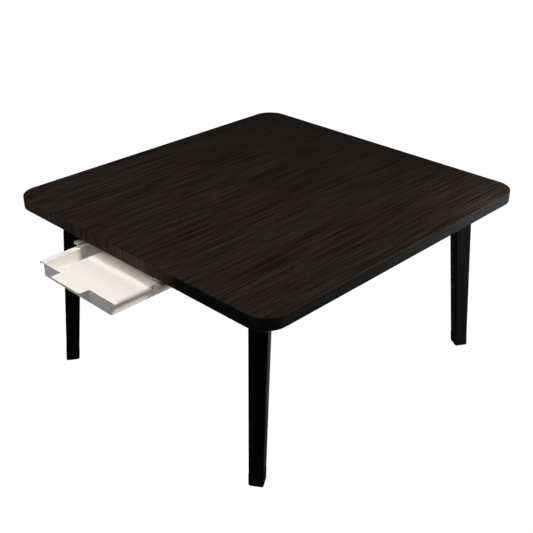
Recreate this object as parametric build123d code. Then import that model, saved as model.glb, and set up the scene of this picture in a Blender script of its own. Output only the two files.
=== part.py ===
from build123d import *
from math import atan2, degrees
import os

# Low square kotatsu table with a shallow drawer under its front edge.
# Millimetres. +Z is up from the floor, -Y is the drawer side, +X is to the right of someone
# sitting at the drawer. The pieces are drawn about the board's middle and moved by SETBACK
# when they are written, so that the origin lies on the floor under the middle of the whole
# footprint, drawer pulled out.

CUT_PAST = 1.0  # how far a cutter runs past what it cuts, and two pieces of one part overlap

# ---------------------------------------------------------------- board
TABLE_HEIGHT = 393.0
BOARD_WIDTH = 722.0  # along X
BOARD_DEPTH = 750.0  # along Y
BOARD_THICKNESS = 25.3
BOARD_CORNER_R = 46.0
EDGE_BAND = 2.0  # thickness of the band round the board
EDGE_ARRIS_R = 1.6

# ---------------------------------------------------------------- under-frame
PAD_HEIGHT = 2.0  # felt pads that the loose board lies on
PAD_DIAMETER = 18.0
PAD_INSET = 45.0  # from the frame's outer edge to a pad's middle
PAD_SPREAD = (0.5, 0.33)  # of the pads along each side, as a share of the frame's half sizes
FRAME_INSET = 25.0  # from the board's edge to the frame's edge
FRAME_THICKNESS = 16.0
RAIL_WIDTH = 90.0
FRAME_CORNER_R = 24.0
FRAME_CHAMFER = 1.5
CROSSBAR_WIDTH = 40.0
DOWEL_D = 8.0
DOWEL_LENGTH = 40.0
DOWEL_FIT = 0.1  # radial
RAIL_DOWEL_SPACING = 36.0
CROSSBAR_DOWEL_SPACING = 20.0

# ---------------------------------------------------------------- legs
LEG_INSET = (61.6, 49.9)  # of the leg's middle under its bracket from the frame's edges
LEG_SPLAY = (0.0509, 0.0791)  # outward run per mm of height, X and Y
LEG_HEAD = 35.6  # across the flats
LEG_FOOT = 27.6
LEG_HEAD_R = 3.2  # rounding of the long edges
LEG_FOOT_R = 2.8
CAP_HEIGHT = 26.0
CAP_WALL = 1.3
CAP_PROUD = 0.5  # of the cap past the leg above it, each side
CAP_FLOOR = 3.0
CAP_EDGE_R = 2.5
CAP_LIP_CHAMFER = 0.3
CAP_SHOULDER_GAP = 0.2  # between the cap's lip and the leg's shoulder
SEAT_FIT = 0.1  # between a leg and what it is pushed into, each side

# ---------------------------------------------------------------- leg brackets and bolts
BRACKET_SIZE = (80.0, 112.0)
BRACKET_PLATE = 3.0
BRACKET_CORNER_R = 8.0
BRACKET_SHIFT = (14.0, -8.0)  # of the plate's middle from the leg's, outward in X, outward in Y
COLLAR_DEPTH = 10.0
COLLAR_WALL = 2.0
BOLT_D = 8.0
BOLT_IN_LEG = 40.0
BOLT_HOLE_GAP = 0.5  # radial, in the frame and the bracket
THREAD_FIT = 0.08  # radial, where a thread is drawn plain
WASHER_D = 17.0
WASHER_THICKNESS = 1.6
NUT_FLATS = 13.0
NUT_HEIGHT = 6.5
WRENCH_BORE_D = 24.0
WRENCH_BORE_DEPTH = 9.0
BRACKET_SCREW_INSET = 9.0

# ---------------------------------------------------------------- screws (plain shanks)
SCREW_FIT = 0.1  # radial, in its pilot hole
SCREW_HOLE_GAP = 0.3  # radial, in the sheet it passes through
BIG_SCREW = (4.0, 14.0, 8.0, 2.4)  # shank diameter, length under head, head diameter, head height
SMALL_SCREW = (3.4, 12.0, 6.8, 2.0)
TINY_SCREW = (2.6, 5.0, 5.2, 1.6)
HEAD_CHAMFER = 0.4  # of a screw head's edge, as a share of its height
PILOT_SPARE = 1.0  # depth of a pilot hole past the screw's tip

# ---------------------------------------------------------------- heater unit
PAN_WIDTH = 284.0
PAN_SIDE_GAP = 2.0  # between the pan and each crossbar
PAN_SPAN = 232.0  # along Y
PAN_DEPTH = 13.0
PAN_WALL = 1.2
PAN_CORNER_R = 14.0
PAN_TOP_R = 4.0
PAN_FLANGE = 14.0
HEATER_SCREW_INSET = 24.0  # from the pan's side wall, along X
HEATER_SCREW_OUT = 8.0  # past the pan's front and rear walls, along Y
GUARD_FLANGE = 9.0
GUARD_SCREW_OUT = 5.5  # past the pan's side walls, along X
GUARD_DEPTH = 25.0
GUARD_DRAFT = 8.0  # how far each side leans in over its depth
GUARD_WALL = 1.4
GUARD_EDGE_R = 3.0
GUARD_HEAD_GAP = 1.0  # radial, round the heads of the heater's screws
GUARD_MARGIN = 18.0  # of the outermost slots from the guard's corners
GUARD_SLOT = 5.0
GUARD_PITCH = 9.0
GUARD_SLOT_LENGTH = 76.0
GUARD_COLUMNS = 3
GUARD_RIB = 9.0  # solid web between two columns of slots
SIDE_SLOT_HEIGHT = 11.0
TUBE_D = 11.0
TUBE_SPACING = 100.0
TUBE_LENGTH = 226.0
TUBE_DROP = 1.5  # of a tube's middle below the frame
TUBE_CAP_D = 14.0
TUBE_CAP_LENGTH = 16.0
HOLDER_WIDTH = 12.0
HOLDER_LENGTH = 132.0
HOLDER_REACH = 6.0  # below the tube's middle
HOLDER_CHAMFER = 1.5
HOLDER_RELIEF = 52.0  # length cut away between the two tubes
REFLECTOR_SHEET = 0.6
REFLECTOR_RISE = 9.0
REFLECTOR_GAP = 0.4  # under the pan
THERMOSTAT_D = 15.0
THERMOSTAT_HEIGHT = 8.0
THERMOSTAT_EDGE_R = 1.5
INLET_SIZE = (44.0, 25.0, 20.0)
INLET_X = 84.0
INLET_WALL = 3.0
INLET_BACK = 6.0  # thickness behind the pins
INLET_CORNER_R = 4.0
INLET_EAR_SIDE = 3.0  # of the pan's ear past the inlet, each side
INLET_EAR_END = 1.0
INLET_EAR_R = 5.0
INLET_PIN_D = 4.0
INLET_PIN_SPACING = 18.0
INLET_PIN_END = 2.5  # of a pin's buried end from the inlet's back
INLET_PIN_FIT = 0.04  # radial, in the moulding

# ---------------------------------------------------------------- drawer
RIM_DROP = 0.8  # of the tray's rim below the frame
TRAY_MIDDLE_X = -33.2
TRAY_WIDTH = 205.5  # over its side walls
TRAY_LENGTH = 200.0
TRAY_HEIGHT = 28.5
TRAY_WALL = 2.2
TRAY_CORNER_R = 3.0
TRAY_EDGE_R = 1.8  # round the underside
TRAY_INSIDE_R = 3.0
TRAY_FLOOR_R = 2.7
TRAY_PULLED_OUT = 84.5  # of the tray's front past the board's edge, as stored
FLANGE_LEFT = 9.8  # overhang of the runners past the side walls
FLANGE_RIGHT = 6.7
SHEET = 2.4  # of the runners and the cover
COVER_FIT = 0.1  # between the cover and what it lies on
COVER_LEFT_X = -92.5
PARTITION = 1.8
PARTITION_INSET = 1.0  # from the cover's left edge
SKIRT = 1.8
SKIRT_FIT = 0.3
SKIRT_SHORT = 1.0  # of the skirt's rear end before the tray's stop ear
EAR_REACH = 3.7  # of the cover's front corner past its edge
EAR_LENGTH = 8.5
TAB_LEFT_X = -78.1
TAB_WIDTH = 85.5
TAB_LENGTH = 21.2
TAB_CORNER_R = 6.0
COVER_TRAVEL = 120.0
STOP_RIB = 1.6
STOP_RIB_DEPTH = 4.0
STOP_RIB_INSET = 6.0  # of its ends from the bay's side walls
RUN_FIT = 0.2  # between a runner and the lip it slides on
SIDE_FIT = 2.5  # between a runner's edge and the web beside it
EAR_CLEAR = 0.4
STOP_EAR = 2.0
STOP_EAR_LENGTH = 10.0
SLIDE_SHEET = 1.8  # web and lip of the slides
SLIDE_FOOT = 2.0  # the slide's flange that is screwed up
SLIDE_FOOT_WIDTH = 12.0
SLIDE_FOOT_R = 2.0  # of the flange's front outer corner
SLIDE_NOSE_RISE = 2.5  # of the flange's nose before the frame's front edge
SLIDE_NOSE_GAP = 0.5  # between the nose and that edge
SLIDE_FRONT_INSET = 2.0  # from the board's edge
SLIDE_SCREW_INSET = 15.0  # from the edges of the frame's front board
SLIDE_SCREW_TAIL = 9.0  # from the flange's rear end
NUB_LENGTH = 3.6  # of the front stop
NUB_CLEAR = 0.4  # between the front stop and a runner's edge
SLIDE_TAIL = 12.5  # of the flange behind the end stop
SLIDE_LIP_CLEAR = 2.5  # between the lip and the tray's wall
STOP_GAP = 0.4
TAB_INSET = 2.0  # of the tab's tip from the board's edge, drawer shut
PULL_FURTHER = 54.0  # from the stored place to the front stop

# ---------------------------------------------------------------- levels and places that follow
BOARD_UNDER = TABLE_HEIGHT - BOARD_THICKNESS
FRAME_TOP = BOARD_UNDER - PAD_HEIGHT
FRAME_UNDER = FRAME_TOP - FRAME_THICKNESS
LEG_TOP = FRAME_UNDER - BRACKET_PLATE
FRAME_HALF_X = BOARD_WIDTH / 2 - FRAME_INSET
FRAME_HALF_Y = BOARD_DEPTH / 2 - FRAME_INSET
LEG_AXIS_HEAD = (FRAME_HALF_X - LEG_INSET[0], FRAME_HALF_Y - LEG_INSET[1])
LEG_TURN = degrees(atan2(LEG_SPLAY[1], LEG_SPLAY[0]))  # a leg's outer flat faces the way it splays
OPEN_HALF_X = FRAME_HALF_X - RAIL_WIDTH
OPEN_HALF_Y = FRAME_HALF_Y - RAIL_WIDTH
CROSSBAR_IN = PAN_SPAN / 2 + PAN_SIDE_GAP
CROSSBAR_Y = CROSSBAR_IN + CROSSBAR_WIDTH / 2
WRENCH_FLOOR = FRAME_TOP - WRENCH_BORE_DEPTH

BOARD_FRONT = -BOARD_DEPTH / 2
TRAY_LEFT = TRAY_MIDDLE_X - TRAY_WIDTH / 2
TRAY_RIGHT = TRAY_MIDDLE_X + TRAY_WIDTH / 2
TRAY_FRONT = BOARD_FRONT - TRAY_PULLED_OUT
TRAY_REAR = TRAY_FRONT + TRAY_LENGTH
RIM_TOP = FRAME_UNDER - RIM_DROP
TRAY_UNDER = RIM_TOP - TRAY_HEIGHT
COVER_UNDER = RIM_TOP - SHEET
RUNNER_TOP = COVER_UNDER - COVER_FIT
RUNNER_UNDER = RUNNER_TOP - SHEET
RUNNER_LEFT = TRAY_LEFT - FLANGE_LEFT
RUNNER_RIGHT = TRAY_RIGHT + FLANGE_RIGHT
COVER_RIGHT = RUNNER_RIGHT + SKIRT_FIT + SKIRT
TAB_TIP = TRAY_FRONT - TAB_LENGTH
SHUT_TRAVEL = BOARD_FRONT + TAB_INSET - TAB_TIP
LIP_TOP = RUNNER_UNDER - RUN_FIT
LIP_UNDER = LIP_TOP - SLIDE_SHEET
WEB_LEFT = RUNNER_LEFT - SIDE_FIT
WEB_RIGHT = COVER_RIGHT + EAR_REACH + EAR_CLEAR
SLIDE_FRONT = BOARD_FRONT + SLIDE_FRONT_INSET
SLIDE_STOP = TRAY_REAR + SHUT_TRAVEL + STOP_GAP
SLIDE_REAR = SLIDE_STOP + SLIDE_SHEET + SLIDE_TAIL
SETBACK = -(TAB_TIP + BOARD_DEPTH / 2) / 2

CORNERS = {"front_left": (-1, -1), "front_right": (1, -1), "rear_left": (-1, 1), "rear_right": (1, 1)}


# ---------------------------------------------------------------- small helpers
def block(x, y, z):
    """A box from three (low, high) pairs."""
    size = [b - a for a, b in (x, y, z)]
    return Pos(*[(a + b) / 2 for a, b in (x, y, z)]) * Box(*size)


def slab(width, depth, radius, low, high, centre=(0, 0)):
    """An upright prism with rounded corners between two levels."""
    return Pos(*centre, low) * extrude(RectangleRounded(width, depth, radius), high - low)


def rod(radius, low, high, x, y):
    """An upright cylinder between two levels."""
    return Pos(x, y, (low + high) / 2) * Cylinder(radius, high - low)


def screw(kind, x, y, seat):
    """A pan-head screw driven upwards, its head's flat at the seat's level."""
    shank_d, length, head_d, head = kind
    flat = rod(head_d / 2, seat - head, seat, x, y)
    flat = chamfer(flat.edges().group_by(Axis.Z)[0], HEAD_CHAMFER * head)
    return flat + rod(shank_d / 2, seat - head / 2, seat + length, x, y)


def pilot(kind, x, y, seat, gap=SCREW_FIT):
    """The hole for a screw's shank, a little deeper than the shank."""
    return rod(kind[0] / 2 + gap, seat - CUT_PAST, seat + kind[1] + PILOT_SPARE, x, y)


def both(values):
    """Each value with both signs."""
    return [sign * value for value in values for sign in (-1, 1)]


# ---------------------------------------------------------------- screw and dowel places
def bracket_middle(signs):
    """Middle of a leg bracket's plate."""
    return [sign * (axis + shift) for sign, axis, shift in zip(signs, LEG_AXIS_HEAD, BRACKET_SHIFT)]


def bracket_screws(signs):
    """Places of one bracket's four screws."""
    mx, my = bracket_middle(signs)
    half_x, half_y = [side / 2 - BRACKET_SCREW_INSET for side in BRACKET_SIZE]
    return [(mx + dx, my + dy) for dx in both([half_x]) for dy in both([half_y])]


def slide_screws():
    """Places of the screws that hold the two drawer slides, three in each."""
    on_front_board = (-FRAME_HALF_Y + SLIDE_SCREW_INSET, -OPEN_HALF_Y - SLIDE_SCREW_INSET)
    rows = (*on_front_board, SLIDE_REAR - SLIDE_SCREW_TAIL)
    out = SLIDE_SHEET + SLIDE_FOOT_WIDTH / 2
    return [(x, y) for x in (WEB_LEFT - out, WEB_RIGHT + out) for y in rows]


def heater_screws():
    """Places of the four screws that hang the heater from the crossbars."""
    places_x, places_y = both([PAN_WIDTH / 2 - HEATER_SCREW_INSET]), both([PAN_SPAN / 2 + HEATER_SCREW_OUT])
    return [(x, y) for x in places_x for y in places_y]


def dowels():
    """Each dowel as its middle and the direction it lies in."""
    places = []
    for sx, sy in CORNERS.values():
        for dx in both([RAIL_DOWEL_SPACING / 2]):
            places.append((sx * (FRAME_HALF_X - RAIL_WIDTH / 2) + dx, sy * OPEN_HALF_Y, "Y"))
        for dy in both([CROSSBAR_DOWEL_SPACING / 2]):
            places.append((sx * OPEN_HALF_X, sy * CROSSBAR_Y + dy, "X"))
    return places


def dowel(place, grow=0.0):
    """One dowel, or with grow its hole."""
    x, y, along = place
    turn = Rot(90, 0, 0) if along == "Y" else Rot(0, 90, 0)
    middle = Pos(x, y, (FRAME_TOP + FRAME_UNDER) / 2)
    return middle * turn * Cylinder(DOWEL_D / 2 + grow, DOWEL_LENGTH + 2 * grow)


# ---------------------------------------------------------------- board
def make_board():
    """The loose board's core and the band round it."""
    inner = (BOARD_WIDTH - 2 * EDGE_BAND, BOARD_DEPTH - 2 * EDGE_BAND, BOARD_CORNER_R - EDGE_BAND)
    core = slab(*inner, BOARD_UNDER, TABLE_HEIGHT)
    whole = slab(BOARD_WIDTH, BOARD_DEPTH, BOARD_CORNER_R, BOARD_UNDER, TABLE_HEIGHT)
    ends = whole.faces().sort_by(Axis.Z)
    whole = fillet(ends[0].edges() + ends[-1].edges(), EDGE_ARRIS_R)
    return {"board_core": core, "edge_band": whole - core}


def make_pads():
    """Felt pads on the frame, two along each side."""
    near_x, near_y = FRAME_HALF_X * PAD_SPREAD[0], FRAME_HALF_Y * PAD_SPREAD[1]
    places = [(x, y) for x in both([near_x]) for y in both([FRAME_HALF_Y - PAD_INSET])]
    places += [(x, y) for x in both([FRAME_HALF_X - PAD_INSET]) for y in both([near_y])]
    return Part() + [rod(PAD_DIAMETER / 2, FRAME_TOP, BOARD_UNDER, x, y) for x, y in places]


# ---------------------------------------------------------------- under-frame
def frame_holes():
    """Everything that is drilled in the frame: dowels, leg bolts and screws."""
    holes = [dowel(place, DOWEL_FIT) for place in dowels()]
    for signs in CORNERS.values():
        x, y = [sign * axis for sign, axis in zip(signs, LEG_AXIS_HEAD)]
        holes.append(rod(BOLT_D / 2 + BOLT_HOLE_GAP, FRAME_UNDER - CUT_PAST, FRAME_TOP, x, y))
        holes.append(rod(WRENCH_BORE_D / 2, WRENCH_FLOOR, FRAME_TOP + CUT_PAST, x, y))
        seat = FRAME_UNDER - BRACKET_PLATE
        holes += [pilot(BIG_SCREW, sx, sy, seat) for sx, sy in bracket_screws(signs)]
    holes += [pilot(SMALL_SCREW, x, y, FRAME_UNDER - SLIDE_FOOT) for x, y in slide_screws()]
    holes += [pilot(SMALL_SCREW, x, y, FRAME_UNDER - PAN_WALL) for x, y in heater_screws()]
    return holes


def make_frame():
    """Front, rear and side boards of the frame and the two crossbars of the heater."""
    outer = slab(2 * FRAME_HALF_X, 2 * FRAME_HALF_Y, FRAME_CORNER_R, FRAME_UNDER, FRAME_TOP)
    outer = chamfer(outer.faces().sort_by(Axis.Z)[0].edges(), FRAME_CHAMFER)
    level = (FRAME_UNDER, FRAME_TOP)
    whole_x = (-FRAME_HALF_X, FRAME_HALF_X)
    side_y = (-OPEN_HALF_Y, OPEN_HALF_Y)
    pieces = {
        "frame_front": outer & block(whole_x, (-FRAME_HALF_Y, -OPEN_HALF_Y), level),
        "frame_rear": outer & block(whole_x, (OPEN_HALF_Y, FRAME_HALF_Y), level),
        "frame_left": outer & block((-FRAME_HALF_X, -OPEN_HALF_X), side_y, level),
        "frame_right": outer & block((OPEN_HALF_X, FRAME_HALF_X), side_y, level),
    }
    for name, sign in (("crossbar_front", -1), ("crossbar_rear", 1)):
        span = sorted((sign * CROSSBAR_IN, sign * (CROSSBAR_IN + CROSSBAR_WIDTH)))
        pieces[name] = block((-OPEN_HALF_X, OPEN_HALF_X), span, level)
    holes = frame_holes()
    return {name: piece - holes for name, piece in pieces.items()}


# ---------------------------------------------------------------- legs
def leg_section(signs, level, grow):
    """A leg's outline at one level, grown on each side."""
    share = level / LEG_TOP
    drop = LEG_TOP - level
    middle = [sign * (axis + splay * drop) for sign, axis, splay in zip(signs, LEG_AXIS_HEAD, LEG_SPLAY)]
    flats = LEG_FOOT + (LEG_HEAD - LEG_FOOT) * share + 2 * grow
    rounding = LEG_FOOT_R + (LEG_HEAD_R - LEG_FOOT_R) * share + grow
    turn = Rot(0, 0, signs[0] * signs[1] * LEG_TURN)
    return Pos(*middle, level) * turn * RectangleRounded(flats, flats, rounding)


def leg_form(signs, low, high, grow=0.0):
    """The tapered, splayed form of a leg between two levels."""
    return loft([leg_section(signs, low, grow), leg_section(signs, high, grow)], ruled=True)


def make_leg(signs):
    """A leg with a slimmer end inside its foot cap and the hole for its hanger bolt."""
    x, y = [sign * axis for sign, axis in zip(signs, LEG_AXIS_HEAD)]
    low = LEG_TOP - BOLT_IN_LEG - PILOT_SPARE
    hole = rod(BOLT_D / 2 + THREAD_FIT, low, LEG_TOP + CUT_PAST, x, y)
    shoulder = CAP_HEIGHT + CAP_SHOULDER_GAP
    tenon = leg_form(signs, CAP_FLOOR, shoulder, CAP_PROUD - CAP_WALL - SEAT_FIT)
    return leg_form(signs, shoulder, LEG_TOP) + tenon - hole


def make_cap(signs):
    """The cup that covers a leg's foot and stands on the floor."""
    cup = leg_form(signs, 0, CAP_HEIGHT, CAP_PROUD)
    ends = cup.faces().sort_by(Axis.Z)
    cup = fillet(ends[0].edges(), CAP_EDGE_R)
    cup = chamfer(cup.faces().sort_by(Axis.Z)[-1].edges(), CAP_LIP_CHAMFER)
    return cup - leg_form(signs, CAP_FLOOR, CAP_HEIGHT + CAP_FLOOR, CAP_PROUD - CAP_WALL)


def make_bracket(signs):
    """A pressed plate under the frame's corner with a collar round the leg's head."""
    level = (LEG_TOP, FRAME_UNDER)
    plate = slab(*BRACKET_SIZE, BRACKET_CORNER_R, *level, bracket_middle(signs))
    collar = leg_form(signs, LEG_TOP - COLLAR_DEPTH, LEG_TOP, COLLAR_WALL + SEAT_FIT)
    socket = leg_form(signs, LEG_TOP - COLLAR_DEPTH - CUT_PAST, LEG_TOP, SEAT_FIT)
    x, y = [sign * axis for sign, axis in zip(signs, LEG_AXIS_HEAD)]
    holes = [rod(BOLT_D / 2 + BOLT_HOLE_GAP, LEG_TOP - CUT_PAST, FRAME_UNDER + CUT_PAST, x, y)]
    holes += [pilot(BIG_SCREW, sx, sy, LEG_TOP, SCREW_HOLE_GAP) for sx, sy in bracket_screws(signs)]
    return plate + (collar - socket) - holes


def make_leg_fixings():
    """Hanger bolts, washers, nuts and bracket screws of the four legs."""
    places = [[sign * axis for sign, axis in zip(signs, LEG_AXIS_HEAD)] for signs in CORNERS.values()]
    washer_top = WRENCH_FLOOR + WASHER_THICKNESS
    bore = [rod(BOLT_D / 2 + THREAD_FIT, WRENCH_FLOOR - CUT_PAST, FRAME_TOP, x, y) for x, y in places]
    nut = extrude(RegularPolygon(NUT_FLATS / 2, 6, major_radius=False), NUT_HEIGHT)
    bolts = [rod(BOLT_D / 2, LEG_TOP - BOLT_IN_LEG, FRAME_TOP, x, y) for x, y in places]
    washers = [rod(WASHER_D / 2, WRENCH_FLOOR, washer_top, x, y) for x, y in places]
    nuts = [Pos(x, y, washer_top) * nut for x, y in places]
    seats = [place for signs in CORNERS.values() for place in bracket_screws(signs)]
    screws = [screw(BIG_SCREW, x, y, LEG_TOP) for x, y in seats]
    return {
        "hanger_bolts": Part() + bolts,
        "bolt_washers": (Part() + washers) - bore,
        "bolt_nuts": (Part() + nuts) - bore,
        "bracket_screws": Part() + screws,
    }


# ---------------------------------------------------------------- heater
def make_pan():
    """The heater's pressed housing: a shallow pan with a flange under the crossbars."""
    flange_under = FRAME_UNDER - PAN_WALL
    pan_top = FRAME_UNDER + PAN_DEPTH
    body = slab(PAN_WIDTH, PAN_SPAN, PAN_CORNER_R, flange_under, pan_top)
    body = fillet(body.faces().sort_by(Axis.Z)[-1].edges(), PAN_TOP_R)
    flange_size = (PAN_WIDTH + 2 * PAN_FLANGE, PAN_SPAN + 2 * PAN_FLANGE)
    flange = slab(*flange_size, PAN_CORNER_R + PAN_FLANGE, flange_under, FRAME_UNDER)
    ear_y = (PAN_SPAN / 2, PAN_SPAN / 2 + PAN_FLANGE + INLET_SIZE[1] + INLET_EAR_END)
    half = INLET_SIZE[0] / 2 + INLET_EAR_SIDE
    ear = block((INLET_X - half, INLET_X + half), ear_y, (flange_under, FRAME_UNDER))
    ear = fillet(ear.edges().filter_by(Axis.Z).group_by(Axis.Y)[-1], INLET_EAR_R)
    inside = (PAN_WIDTH - 2 * PAN_WALL, PAN_SPAN - 2 * PAN_WALL, PAN_CORNER_R - PAN_WALL)
    hollow = slab(*inside, flange_under - CUT_PAST, pan_top - PAN_WALL)
    hollow = fillet(hollow.faces().sort_by(Axis.Z)[-1].edges(), PAN_TOP_R - PAN_WALL)
    holes = [pilot(SMALL_SCREW, x, y, flange_under, SCREW_HOLE_GAP) for x, y in heater_screws()]
    holes += [pilot(TINY_SCREW, x, y, flange_under - GUARD_WALL) for x, y in guard_screws()]
    return body + flange + ear - hollow - holes


def guard_screws():
    """Places of the screws that hold the guard under the pan's flange."""
    return [(x, 0) for x in both([PAN_WIDTH / 2 + GUARD_SCREW_OUT])]


def guard_form(grow, top, bottom):
    """The guard's tapered basket between two levels, shrunk by grow."""
    width, span, radius = PAN_WIDTH - 2 * grow, PAN_SPAN - 2 * grow, PAN_CORNER_R - grow
    upper = Pos(0, 0, top) * RectangleRounded(width, span, radius)
    lean = 2 * GUARD_DRAFT
    lower = Pos(0, 0, bottom) * RectangleRounded(width - lean, span - lean, radius)
    return loft([upper, lower], ruled=True)


def guard_slots():
    """Slots through the guard's face and its four sides."""
    top = FRAME_UNDER - PAN_WALL
    bottom = top - GUARD_DEPTH
    rows = int((PAN_SPAN / 2 - GUARD_DRAFT - GUARD_MARGIN) / GUARD_PITCH)
    step = GUARD_SLOT_LENGTH + GUARD_RIB
    cutters = []
    slot = extrude(SlotOverall(GUARD_SLOT_LENGTH, GUARD_SLOT), GUARD_WALL + 2 * CUT_PAST)
    slot = Pos(0, 0, bottom - CUT_PAST) * slot
    for column in range(GUARD_COLUMNS):
        x = (column - (GUARD_COLUMNS - 1) / 2) * step
        cutters += [Pos(x, row * GUARD_PITCH, 0) * slot for row in range(-rows, rows + 1)]
    middle = (top + bottom) / 2
    along_x = int((PAN_WIDTH / 2 - GUARD_DRAFT - GUARD_MARGIN) / GUARD_PITCH)
    tall = Box(GUARD_SLOT, PAN_SPAN + 2 * CUT_PAST, SIDE_SLOT_HEIGHT)
    cutters += [Pos(column * GUARD_PITCH, 0, middle) * tall for column in range(-along_x, along_x + 1)]
    wide = Box(PAN_WIDTH + 2 * CUT_PAST, GUARD_SLOT, SIDE_SLOT_HEIGHT)
    cutters += [Pos(0, row * GUARD_PITCH, middle) * wide for row in range(-rows, rows + 1)]
    return cutters


def make_guard():
    """The basket-shaped grille under the heater."""
    top = FRAME_UNDER - PAN_WALL
    bottom = top - GUARD_DEPTH
    basket = guard_form(0, top, bottom)
    basket = fillet(basket.faces().sort_by(Axis.Z)[0].edges(), GUARD_EDGE_R)
    hollow = guard_form(GUARD_WALL, top + CUT_PAST, bottom + GUARD_WALL)
    size = (PAN_WIDTH + 2 * GUARD_FLANGE, PAN_SPAN + 2 * GUARD_FLANGE)
    flange = slab(*size, PAN_CORNER_R + GUARD_FLANGE, top - GUARD_WALL, top)
    head_low = top - GUARD_WALL - SMALL_SCREW[3] - CUT_PAST
    head_r = SMALL_SCREW[2] / 2 + GUARD_HEAD_GAP
    heads = [rod(head_r, head_low, top + CUT_PAST, x, y) for x, y in heater_screws()]
    holes = [pilot(TINY_SCREW, x, y, top - GUARD_WALL, SCREW_HOLE_GAP) for x, y in guard_screws()]
    return basket + flange - hollow - guard_slots() - holes - heads


def make_reflector():
    """A polished sheet with one trough over each tube."""
    half = TUBE_SPACING / 2
    low = FRAME_UNDER + PAN_DEPTH - PAN_WALL - REFLECTOR_GAP - REFLECTOR_SHEET - REFLECTOR_RISE
    length = TUBE_LENGTH - TUBE_CAP_LENGTH - HOLDER_WIDTH - 2 * REFLECTOR_GAP
    faces = []
    for side in (-1, 1):
        ends = [(side * half - half, low), (side * half, low + REFLECTOR_RISE), (side * half + half, low)]
        raised = [(x, z + REFLECTOR_SHEET) for x, z in ends]
        lower = ThreePointArc(*ends)
        upper = ThreePointArc(*raised)
        edges = [lower, Line(ends[2], raised[2]), upper, Line(raised[0], ends[0])]
        faces.append(make_face(edges))
    profile = faces[0] + faces[1]
    sheet = extrude(Plane.YZ * profile, length / 2, both=True)
    return sheet


def make_tubes():
    """Two quartz heating tubes with ceramic ends."""
    level = FRAME_UNDER - TUBE_DROP
    tubes = {}
    for name, y in (("heating_tube_front", -TUBE_SPACING / 2), ("heating_tube_rear", TUBE_SPACING / 2)):
        tube = Pos(0, y, level) * Rot(0, 90, 0) * Cylinder(TUBE_D / 2, TUBE_LENGTH)
        for x in both([TUBE_LENGTH / 2 - TUBE_CAP_LENGTH / 2]):
            tube += Pos(x, y, level) * Rot(0, 90, 0) * Cylinder(TUBE_CAP_D / 2, TUBE_CAP_LENGTH)
        tubes[name] = tube
    return tubes


def make_holders():
    """Ceramic bars at the tubes' ends, hung from the pan."""
    level = FRAME_UNDER - TUBE_DROP
    roof = FRAME_UNDER + PAN_DEPTH - PAN_WALL
    holders = {}
    for name, sign in (("tube_holder_left", -1), ("tube_holder_right", 1)):
        x = sign * (TUBE_LENGTH / 2 - TUBE_CAP_LENGTH / 2)
        span = (-HOLDER_LENGTH / 2, HOLDER_LENGTH / 2)
        bar = block((x - HOLDER_WIDTH / 2, x + HOLDER_WIDTH / 2), span, (level - HOLDER_REACH, roof))
        bar = chamfer(bar.edges().filter_by(Axis.X), HOLDER_CHAMFER)
        through = (x - HOLDER_WIDTH / 2 - CUT_PAST, x + HOLDER_WIDTH / 2 + CUT_PAST)
        below = (level - HOLDER_REACH - CUT_PAST, level)
        holes = []
        for y in both([TUBE_SPACING / 2]):
            radius = TUBE_CAP_D / 2 + SEAT_FIT
            bore = Pos(x, y, level) * Rot(0, 90, 0) * Cylinder(radius, HOLDER_WIDTH + 2 * CUT_PAST)
            holes += [bore, block(through, (y - radius, y + radius), below)]
        relief = block(through, (-HOLDER_RELIEF / 2, HOLDER_RELIEF / 2), below)
        holders[name] = bar - holes - relief
    return holders


def make_thermostat():
    """A disc thermostat under the ridge between the troughs."""
    ridge = FRAME_UNDER + PAN_DEPTH - PAN_WALL - REFLECTOR_GAP - REFLECTOR_SHEET - REFLECTOR_RISE
    disc = rod(THERMOSTAT_D / 2, ridge - THERMOSTAT_HEIGHT, ridge, 0, 0)
    return fillet(disc.edges().group_by(Axis.Z)[0], THERMOSTAT_EDGE_R)


def inlet_pin(length, grow):
    """One pin of the inlet, or with grow its hole."""
    return Rot(90, 0, 0) * Cylinder(INLET_PIN_D / 2 + grow, length)


def make_inlet():
    """The two-pin socket for a supply cord, behind the heater, and its pins."""
    top = FRAME_UNDER - PAN_WALL
    width, depth, height = INLET_SIZE
    front = PAN_SPAN / 2 + PAN_FLANGE
    shell = slab(width, depth, INLET_CORNER_R, top - height, top, (INLET_X, front + depth / 2))
    half = width / 2 - INLET_WALL
    mouth = block((INLET_X - half, INLET_X + half), (front + INLET_BACK, front + depth + CUT_PAST),
                  (top - height + INLET_WALL, top - INLET_WALL))
    pin_length = depth - INLET_PIN_END - INLET_WALL
    places = [(INLET_X + x, front + INLET_PIN_END + pin_length / 2) for x in both([INLET_PIN_SPACING / 2])]
    level = top - height / 2
    pins = Part() + [Pos(x, y, level) * inlet_pin(pin_length, 0) for x, y in places]
    pins = fillet(pins.edges().filter_by(GeomType.CIRCLE).group_by(Axis.Y)[-1], INLET_PIN_D / 4)
    bores = [Pos(x, y, level) * inlet_pin(pin_length, INLET_PIN_FIT) for x, y in places]
    return {"cord_inlet": shell - mouth - bores, "inlet_pins": pins}


def make_heater():
    """Every piece of the heater unit."""
    top = FRAME_UNDER - PAN_WALL
    pieces = {
        "heater_pan": make_pan(),
        "heater_reflector": make_reflector(),
        "heater_guard": make_guard(),
        "thermostat": make_thermostat(),
        "heater_screws": Part() + [screw(SMALL_SCREW, x, y, top) for x, y in heater_screws()],
        "guard_screws": Part() + [screw(TINY_SCREW, x, y, top - GUARD_WALL) for x, y in guard_screws()],
    }
    return pieces | make_inlet() | make_tubes() | make_holders()


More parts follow.
